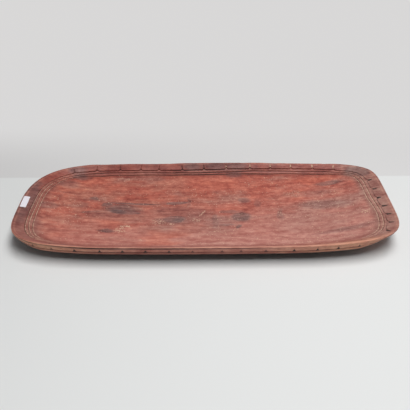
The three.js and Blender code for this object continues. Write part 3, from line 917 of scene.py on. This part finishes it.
def join_sides(far, near, floor_z, spine_x):
    """Both sides as one closed ring of sections, sewn along the spine above and below.

    Returns points, faces and attributes. The columns next to the spine are triangles, fanned to
    shared spine points that lie on whole steps of the spine's pitch.
    """
    loop = {key: np.concatenate([far[key], near[key][1:-1][::-1]]) for key in far}
    order = np.concatenate([np.arange(STATIONS), np.arange(STATIONS - 2, 0, -1)])
    steps = np.round(spine_x / SPINE_PITCH).astype(int)
    keys, spine_index = np.unique(steps, return_inverse=True)
    grid = np.arange(loop["dirt"].size).reshape(loop["dirt"].shape)
    bottom = grid.size + spine_index[order]
    low, high = np.zeros((2, len(keys), 3))
    low[:, 0] = high[:, 0] = keys * SPINE_PITCH
    high[:, 2] = [floor_z[steps == key].mean() for key in keys]
    onward = np.roll(grid, -1, axis=0)
    quads = np.stack([onward[:, :-1], onward[:, 1:], grid[:, 1:], grid[:, :-1]], axis=2)

    def fan(edge, spine_points):
        """Triangles from a ring to the spine, leaving out those of no size."""
        after, spine_after = np.roll(edge, -1), np.roll(spine_points, -1)
        first = np.stack([edge, after, spine_points], axis=1)
        second = np.stack([after, spine_after, spine_points], axis=1)
        return np.concatenate([first, second[spine_after != spine_points]])

    faces = quads.reshape(-1, 4).tolist() + fan(grid[:, 0], bottom)[:, ::-1].tolist()
    faces += fan(grid[:, -1], bottom + len(keys)).tolist()
    points = np.concatenate([loop["points"].reshape(-1, 3), low, high])
    spine = np.zeros(2 * len(keys))
    attributes = {key: np.concatenate([loop[key].ravel(), spine]) for key in FINISH}
    attributes["on_rim"][grid.size : grid.size + len(keys)] = UNDERSIDE
    return points, faces, attributes


def new_piece(name, points, faces, attributes, material):
    """A smooth mesh object at the origin, with its attributes and one material."""
    mesh = bpy.data.meshes.new(name)
    mesh.from_pydata(points.tolist(), [], faces)
    mesh.polygons.foreach_set("use_smooth", np.ones(len(mesh.polygons), dtype=bool))
    for key, values in attributes.items():
        layer = mesh.attributes.new(key, "FLOAT", "POINT")
        layer.data.foreach_set("value", values.astype(np.float32))
    mesh.materials.append(material)
    mesh.update()
    return new_object(name, mesh)


def new_object(name, data):
    """An object in the scene that holds a mesh, a lamp or a camera."""
    made = bpy.data.objects.new(name, data)
    bpy.context.scene.collection.objects.link(made)
    return made


def sections_of(sizes, carving):
    """Dense traces, cuts and mesh stations of both sides, paired along one spine."""
    crest_plan, floor, foot = plans(sizes)
    sides = {}
    for side in (FAR, NEAR):
        trace = crest_trace(sizes, crest_plan, side)
        trace_rim = rims_at(sizes, floor, foot, trace, side, spine_under(sizes, trace[:, 0]))
        cuts = cuts_on(sizes, carving, trace_rim)
        crest = sampled(trace, station_places(trace, cuts))
        sides[side] = SimpleNamespace(trace_rim=trace_rim, cuts=cuts, crest=crest)
    spine_x = sum(spine_under(sizes, found.crest[:, 0]) for found in sides.values()) / 2.0
    for side, found in sides.items():
        found.rim = rims_at(sizes, floor, foot, found.crest, side, spine_x)
    return sides, spine_x


# Finishes

class Recipe:
    """The node tree of a material or a sky: each call adds a node and returns its output."""

    def __init__(self, owner, output="Material"):
        owner.use_nodes = True
        self.owner = owner
        self.nodes, self.links = owner.node_tree.nodes, owner.node_tree.links
        self.nodes.clear()
        self.end = self.nodes.new("ShaderNodeOutput" + output).inputs["Surface"]

    def finished(self, shader):
        """The material or sky, with this shader as its surface."""
        self.feed(self.end, shader)
        return self.owner

    def feed(self, socket, value):
        """Links an output to a socket, or sets the socket's own value."""
        if isinstance(value, bpy.types.NodeSocket):
            self.links.new(value, socket)
        else:
            socket.default_value = value

    def add(self, kind, output, inputs, **settings):
        """A node of a kind with its settings and inputs."""
        node = self.nodes.new("ShaderNode" + kind)
        for key, value in settings.items():
            setattr(node, key, value)
        for key, value in inputs.items():
            self.feed(node.inputs[key], value)
        return node.outputs[output]

    def place(self, kind="Object"):
        """The piece's own coordinates, in metres, or another kind of them."""
        return self.add("TexCoord", kind, {})

    def axes(self, vector):
        """A vector's three parts."""
        return self.add("SeparateXYZ", 0, {0: vector}).node.outputs

    def attribute(self, name):
        """A value stored on the mesh."""
        return self.add("Attribute", "Fac", {}, attribute_name=name)

    def noise(self, vector, scale, detail=3.0, roughness=0.5, output="Fac"):
        """Soft noise, of one scale or of one for each axis."""
        if isinstance(scale, tuple):
            vector = self.add("Mapping", "Vector", {"Vector": vector, "Scale": scale})
            scale = 1.0
        inputs = {"Vector": vector, "Scale": scale, "Detail": detail, "Roughness": roughness}
        return self.add("TexNoise", output, inputs)

    def spread(self, value, low, high, to_low=0.0, to_high=1.0, curve="SMOOTHSTEP"):
        """A value taken from one range to another, along an even S or a straight line."""
        names = ("Value", "From Min", "From Max", "To Min", "To Max")
        inputs = dict(zip(names, (value, low, high, to_low, to_high)))
        return self.add("MapRange", "Result", inputs, interpolation_type=curve)

    def math(self, operation, *values, clamp=False):
        """One sum on two or three values."""
        inputs = dict(enumerate(values))
        return self.add("Math", "Value", inputs, operation=operation, use_clamp=clamp)

    def times(self, product, *others, clamp=False):
        """The product of several values."""
        for value in others:
            product = self.math("MULTIPLY", product, value, clamp=clamp)
        return product

    def vector_math(self, operation, a, b):
        """One sum on two vectors."""
        return self.add("VectorMath", "Vector", {0: a, 1: b}, operation=operation)

    def length(self, vector):
        """A vector's length."""
        return self.add("VectorMath", "Value", {0: vector}, operation="LENGTH")

    def mixed(self, factor, under, over, blend="MIX"):
        """Two colours mixed by a factor."""
        inputs = {0: factor, 6: opaque(under), 7: opaque(over)}
        return self.add("Mix", 2, inputs, data_type="RGBA", blend_type=blend)

    def coated(self, tone, *coats):
        """A colour under several coats, each with a factor and a colour of its own."""
        for factor, colour in coats:
            tone = self.mixed(factor, tone, colour)
        return tone

    def warped(self, vector, scale, amount):
        """Coordinates pushed about by noise."""
        push = self.noise(vector, scale, 2.0, output="Color")
        centred = self.vector_math("SUBTRACT", push, (0.5, 0.5, 0.5))
        return self.vector_math("ADD", vector, self.vector_math("MULTIPLY", centred, amount))

    def marks(self, vector, rows, edge):
        """The strongest of several oval marks at each point, each soft by a share of its reach."""
        total = 0.0
        for x, y, half_x, half_y, turn, strength in rows:
            inputs = {
                "Vector": vector,
                "Location": (x * MM, y * MM, 0.0),
                "Rotation": (0.0, 0.0, math.radians(turn)),
                "Scale": (half_x * MM, half_y * MM, 10.0),
            }
            local = self.add("Mapping", "Vector", inputs, vector_type="TEXTURE")
            mark = self.spread(self.length(local), 1.0 + edge, 1.0 - edge, 0.0, strength)
            total = self.math("MAXIMUM", total, mark)
        return total

    def bumped(self, layers):
        """Bumps over each other, each of a height and of how many metres it stands for."""
        under = {}
        for height, distance in layers:
            inputs = {"Height": height, "Distance": distance, "Strength": 1.0, **under}
            under = {"Normal": self.add("Bump", "Normal", inputs)}
        return under["Normal"]

    def painted(self, tone, roughness, **others):
        """The principled shader with a colour, a roughness and other inputs."""
        inputs = {"Base Color": tone, "Roughness": roughness, **others}
        return self.add("BsdfPrincipled", "BSDF", inputs)

    def shown_as(self, shader, seen, *share):
        """A shader that is shown as another one to the rays that see it, by a share."""
        rays = self.nodes.new("ShaderNodeLightPath").outputs
        seeing = self.math("MAXIMUM", rays["Is Camera Ray"], rays["Is Glossy Ray"])
        seeing = self.math("MAXIMUM", seeing, rays["Is Transmission Ray"])
        inputs = {"Fac": self.times(seeing, *share), 1: shader, 2: seen}
        return self.add("MixShader", "Shader", inputs)


def opaque(tone):
    """A colour with an alpha of 1, or a linked output as it is."""
    return tone if isinstance(tone, bpy.types.NodeSocket) else (*tone, 1.0)


def wood_finish(colours):
    """Red-ochre wood: grain drawn along X, handled brown rim, stains, scuffs, soot and lime, with
    painted shade, a painted sheen and painted highlights.
    """
    recipe = Recipe(bpy.data.materials.new("worn_red_wood"))
    noise, spread, times, coated = recipe.noise, recipe.spread, recipe.times, recipe.coated
    place = recipe.place()
    x, y, _ = recipe.axes(place)
    dirt, wear, lime, on_rim, outside = (recipe.attribute(name) for name in FINISH)
    in_dish = recipe.math("SUBTRACT", 1.0, on_rim, clamp=True)
    upper = spread(on_rim, 1.9, 1.2)

    bent = recipe.warped(place, 7.0, (0.05, 0.012, 0.012))
    ragged = recipe.warped(place, 46.0, (0.026, 0.008, 0.0))
    torn = recipe.warped(place, 130.0, (0.010, 0.005, 0.0))
    streaks = noise(bent, (14.0, 78.0, 78.0), 7.0, 0.76)
    fibres = noise(bent, (26.0, 420.0, 260.0), 3.0, 0.6)
    mottle = noise(place, (66.0, 92.0, 92.0), 4.0, 0.72)
    blotches = noise(place, (7.0, 20.0, 20.0), 3.0, 0.55)
    clouds = noise(place, (13.0, 27.0, 27.0), 4.0, 0.6)
    speckle = noise(place, (150.0, 330.0, 330.0), 2.0)
    dust = noise(place, (360.0, 270.0, 270.0), 1.0)
    scoops = noise(place, (9.0, 34.0, 34.0), 1.0, 0.4)

    # The dish's red, with umber, grey and bright patches, and a painted sheen that pales it
    # towards the near side and the right.
    nearness = recipe.math("MULTIPLY_ADD", y, -1.0, times(x, 0.20))
    browned = times(spread(x, 0.08, -0.14, 0.25, 1.0), spread(clouds, 0.40, 0.60, 0.06, 0.46))
    red = coated(
        colours.red,
        (browned, colours.umber),
        (spread(blotches, 0.52, 0.70, 0.0, 0.55), colours.grey),
        (spread(nearness, -0.07, 0.15, 0.0, 0.80), colours.near_sheen),
        (spread(blotches, 0.48, 0.32, 0.0, 0.50), colours.bright),
    )

    # The rim, the outer face and the underside darkened as painted shade, the greyed right end,
    # the ochre near corners, with painted light on the near left one, the smoked middle of the far
    # rim, and the old marks.
    rim = coated(colours.brown, (spread(y, 0.05, 0.12), colours.rim_red))
    grey_end = times(spread(x, 0.30, 0.36, 0.0, 0.75), on_rim)
    grey_floor = times(spread(x, 0.12, 0.30, 0.0, 0.40), in_dish, spread(blotches, 0.40, 0.60))
    near_right = times(
        spread(x, 0.05, 0.33), spread(y, -0.118, -0.150), spread(streaks, 0.30, 0.60, 0.35, 0.85)
    )
    # The near left outer face takes the ochre both as its colour and as painted light over its
    # shade.
    near_left_ochre_and_light = times(spread(x, -0.14, -0.32, 0.0, 0.75), spread(y, -0.05, -0.10), outside)
    smoked = times(
        spread(x, -0.07, -0.04), spread(x, 0.13, 0.08), spread(y, 0.138, 0.144, 0.0, 0.38)
    )
    clouded = times(recipe.marks(ragged, PATCHES, 0.6), spread(clouds, 0.35, 0.60, 0.5, 1.0))
    stained = times(recipe.marks(ragged, STAINS, 0.35), spread(streaks, 0.34, 0.60, 1.0, 0.65))
    tone = coated(
        red,
        (times(on_rim, 0.78, clamp=True), rim),
        (times(outside, 0.85), colours.outer),
        # The underside's dark colour is painted shade.
        (spread(on_rim, 1.2, 1.9), colours.under),
        (grey_end, colours.grey),
        (grey_floor, colours.grey),
        (times(recipe.math("MAXIMUM", near_left_ochre_and_light, near_right), upper), colours.ochre_and_light),
        (times(smoked, upper), colours.dirt),
        (times(clouded, upper), colours.grey),
        (times(stained, upper), colours.stain),
    )

    # The brightness of every tone so far: 1 on average, and green and blue vary more than red,
    # so that pale grain is also dustier.
    grain = recipe.math("MULTIPLY_ADD", streaks, 1.15, times(mottle, 0.85))
    calm = spread(recipe.math("SUBTRACT", y, times(x, 0.1)), 0.02, -0.09, 1.9, 1.2)
    level = recipe.math("MULTIPLY_ADD", recipe.math("SUBTRACT", grain, 1.0), calm, 1.0)
    level = recipe.math("MINIMUM", recipe.math("MAXIMUM", level, 0.4), 1.8)
    dusty = recipe.math("POWER", level, 1.75)
    level = recipe.add("CombineColor", "Color", {"Red": level, "Green": dusty, "Blue": dusty})

    # Scuffs, flecks, rubbed edges with painted highlights, soot with painted shade, and lime lie
    # over the grain.
    scuffed = times(recipe.marks(torn, SCUFFS, 0.5), spread(dust, 0.48, 0.58), upper)
    flecks = times(
        spread(dust, 0.66, 0.74, 0.0, 0.75),
        spread(blotches, 0.38, 0.54),
        spread(on_rim, 0.2, 1.2, 1.0, 0.0),
    )
    soot_and_shade = times(dirt, spread(blotches, 0.62, 0.36, 0.55, 1.0))
    limed = times(lime, spread(speckle, 0.38, 0.58, 0.35, 1.0))
    tone = coated(
        recipe.mixed(1.0, tone, level, "MULTIPLY"),
        (scuffed, colours.lime),
        (flecks, colours.lime),
        (times(wear, spread(streaks, 0.38, 0.62, 0.25, 0.75)), colours.worn_and_lit),
        (spread(soot_and_shade, 0.05, 0.85), colours.dirt),
        (spread(limed, 0.05, 0.9, 0.0, 0.85), colours.lime),
    )

    rough = spread(streaks, 0.3, 0.7, 0.62, 0.44)
    rough = recipe.math("ADD", rough, times(soot_and_shade, 0.25), clamp=True)
    flakes = spread(speckle, 0.30, 0.42)
    relief = recipe.bumped(((scoops, 0.0016), (fibres, 0.00028), (flakes, 0.00018)))
    return recipe.finished(recipe.painted(tone, rough, IOR=1.45, Normal=relief))


def paper_finish(look):
    """Blank white paper: faint fibres, and rubbed, slightly soiled edges."""
    recipe = Recipe(bpy.data.materials.new("blank_white_paper"))
    place, spread = recipe.place(), recipe.spread
    cloud, fibres = recipe.noise(place, 160.0), recipe.noise(place, 1400.0, 2.0)
    soil = recipe.times(recipe.attribute("edge"), spread(cloud, 0.35, 0.65, 0.2, 1.0))
    factors = spread(cloud, 0.35, 0.75, 0.0, 0.16), spread(soil, 0.1, 1.0, 0.0, 0.7)
    tone = recipe.coated(look.paper, *((factor, look.soiled) for factor in factors))
    relief = recipe.bumped(((fibres, 0.00004), (cloud, 0.0001)))
    rough = spread(fibres, 0.3, 0.7, 0.5, 0.66)
    return recipe.finished(recipe.painted(tone, rough, Normal=relief))


def floor_finish(look):
    """The studio's floor: the table's tone near the platter and the wall's beyond its edge."""
    recipe = Recipe(bpy.data.materials.new("studio_floor"))
    place, spread, edge = recipe.place(), recipe.spread, look.table_edge
    _, y, _ = recipe.axes(place)
    tone = recipe.mixed(spread(y, edge - EDGE_BLUR, edge + EDGE_BLUR), look.table, look.wall)
    matt = recipe.painted(tone, 0.85, **{"Specular IOR Level": 0.1})
    away = spread(recipe.length(place), *WALL_FROM_MIDDLE)
    far_off = recipe.math("MAXIMUM", spread(y, *WALL_ALONG_Y), away)
    shown = recipe.add("Emission", "Emission", {"Color": opaque(look.wall)})
    return recipe.finished(recipe.shown_as(matt, shown, far_off))


def sky_finish(look):
    """The sky: light from overhead and both ends, seen as the wall's tone all round."""
    recipe = Recipe(bpy.data.worlds.new("studio_sky"), "World")
    x, _, z = recipe.axes(recipe.place("Generated"))
    above = recipe.spread(z, *SKY_HEIGHTS, 0.0, look.sky, "LINEAR")
    aside = recipe.math("ABSOLUTE", x)
    aside = recipe.spread(aside, *SKY_SIDES, 0.0, look.side_sky, "LINEAR")
    strength = recipe.math("MAXIMUM", above, aside)
    lit = recipe.add("Background", "Background", {"Strength": strength})
    shown = recipe.add("Background", "Background", {"Color": opaque(look.wall)})
    return recipe.finished(recipe.shown_as(lit, shown))


# Pieces

class PLATTER_OT_carve_wood(bpy.types.Operator):
    """Carve the platter: its rim, frieze, grooves, floor and hull are one piece of wood"""

    bl_idname = "platter.carve_wood"
    bl_label = "Carve the wood"

    def execute(self, context):
        sizes, carving = context.scene.platter_sizes, context.scene.platter_carving
        sides, spine_x = sections_of(sizes, carving)
        (far, floor_z), (near, _) = (
            side_surface(sizes, carving, sides[side].rim, sides[side].cuts, seed)
            for side, seed in CARVE_SEEDS.items()
        )
        points, faces, attributes = join_sides(far, near, floor_z, spine_x)
        material = wood_finish(context.scene.platter_wood)
        piece = new_piece("platter_wood", points, faces, attributes, material)
        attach(piece, "root")
        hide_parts("platter")
        return {"FINISHED"}


class PLATTER_OT_stick_label(bpy.types.Operator):
    """Stick the blank paper label on the left end"""

    bl_idname = "platter.stick_label"
    bl_label = "Stick the label"

    def execute(self, context):
        sizes, carving = context.scene.platter_sizes, context.scene.platter_carving
        look = context.scene.platter_label
        sides, _ = sections_of(sizes, carving)
        rim = sides[NEAR if look.centre < 0.0 else FAR].trace_rim
        place = (look.inset + look.broad / 2.0 - sizes.crest_width) / rim.width
        curve = placed(rim, *on_band(sizes, rim, place))
        beyond = placed(rim, *on_band(sizes, rim, line_places(carving, rim)[0]))
        index = np.arange(len(curve))[-TRACE_STEPS:][::-1]
        at = np.interp([abs(look.centre)], np.abs(curve[index, 1]), index)
        points, faces, attributes = label_sheet(look, frames_on(rim, curve, beyond, at))
        piece = new_piece("blank_label", points, faces, attributes, paper_finish(look))
        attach(piece, "root")
        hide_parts("paper_label")
        return {"FINISHED"}


def label_sheet(look, frames):
    """A thin closed sheet with rounded corners: points, faces and the nearness to its edge.

    Rows run across it. A row's half length falls short near the long edges by the corner's
    circle, and the sheet's two faces share one outline.
    """
    half_long, half_broad = look.long / 2.0, look.broad / 2.0
    across = np.sin(np.linspace(-math.pi / 2.0, math.pi / 2.0, LABEL_ROWS)) * half_broad
    along = np.linspace(-1.0, 1.0, LABEL_COLUMNS)
    past = np.clip(np.abs(across) - (half_broad - look.corner), 0.0, look.corner)
    half = half_long - look.corner + np.sqrt(look.corner**2 - past**2)
    u = along[None, :] * half[:, None]
    v = np.broadcast_to(across[:, None], u.shape)
    curl = LABEL_CURL * (np.abs(u) / half_long) ** 6 * (v > 0.0)
    layers = []
    for height in (look.gap, look.gap + look.thickness):
        offset = np.stack([u, v, height - curl], axis=2).reshape(-1, 3)
        axes = np.stack([frames.along[0], frames.onward[0], frames.out[0]])
        layers.append(frames.point[0] + offset @ axes)
    grid = np.arange(u.size).reshape(u.shape)
    low = np.stack([grid[:-1, :-1], grid[:-1, 1:], grid[1:, 1:], grid[1:, :-1]], axis=2)
    low = low.reshape(-1, 4)
    border = np.concatenate([grid[0, :-1], grid[:-1, -1], grid[-1, :0:-1], grid[:0:-1, 0]])
    after = np.roll(border, -1)
    wall = np.stack([border + u.size, after + u.size, after, border], axis=1)
    faces = np.concatenate([low, low[:, ::-1] + u.size, wall]).tolist()
    edge = np.maximum(np.abs(along) ** 12, (np.abs(across)[:, None] / half_broad) ** 8)
    return np.concatenate(layers), faces, {"edge": np.tile(edge.ravel(), 2)}


class PLATTER_OT_set_stage(bpy.types.Operator):
    """Set the floor, the soft lamp, the sky and the camera"""

    bl_idname = "platter.set_stage"
    bl_label = "Set the stage"

    def execute(self, context):
        scene, look = context.scene, context.scene.platter_stage
        corners = FLOOR_REACH * np.array([[-1, -1, 0], [1, -1, 0], [1, 1, 0], [-1, 1, 0]])
        floor = new_piece("studio_floor", corners, [[0, 1, 2, 3]], {}, floor_finish(look))

        lamp = bpy.data.lights.new("overhead_lamp", "AREA")
        lamp.shape = "RECTANGLE"
        lamp.size, lamp.size_y = LAMP_SHAPE * look.lamp_size, look.lamp_size
        lamp.energy = look.lamp_power
        new_object("overhead_lamp", lamp).location = LAMP_PLACE
        scene.world = sky_finish(look)

        camera = bpy.data.cameras.new("camera")
        for key, value in CAMERA_LENS.items():
            setattr(camera, key, value)
        scene.camera = new_object("camera", camera)
        scene.camera.location = CAMERA_PLACE
        scene.camera.rotation_euler = [math.radians(turn) for turn in CAMERA_TURN]
        scene.view_settings.view_transform = "Standard"
        return {"FINISHED"}


class PLATTER_PT_panel(bpy.types.Panel):
    """Lists the platter's pieces and its stage"""

    bl_label = "Carved platter"
    bl_idname = "PLATTER_PT_panel"
    bl_space_type = "VIEW_3D"
    bl_region_type = "UI"
    bl_category = "Platter"

    def draw(self, context):
        for operator in OPERATORS:
            self.layout.operator(operator.bl_idname)
        for name in GROUPS:
            group = getattr(context.scene, name)
            for key in group.__annotations__:
                self.layout.prop(group, key)


OPERATORS = (PLATTER_OT_carve_wood, PLATTER_OT_stick_label, PLATTER_OT_set_stage)
GROUPS = {
    "platter_sizes": PlatterSizes,
    "platter_carving": CarvingSizes,
    "platter_wood": WoodColours,
    "platter_label": LabelLook,
    "platter_stage": StageLook,
}


def register():
    """Registers the groups, the operators and the panel."""
    for cls in (*GROUPS.values(), *OPERATORS, PLATTER_PT_panel):
        bpy.utils.register_class(cls)
    for name, group in GROUPS.items():
        setattr(bpy.types.Scene, name, PointerProperty(type=group))


def unregister():
    """Takes them away again."""
    for name in GROUPS:
        delattr(bpy.types.Scene, name)
    for cls in (PLATTER_PT_panel, *reversed(OPERATORS), *reversed(tuple(GROUPS.values()))):
        bpy.utils.unregister_class(cls)


def main():
    """Makes every piece and the stage."""
    register()
    bpy.ops.platter.carve_wood()
    bpy.ops.platter.stick_label()
    bpy.ops.platter.set_stage()


if __name__ == "__main__":
    main()
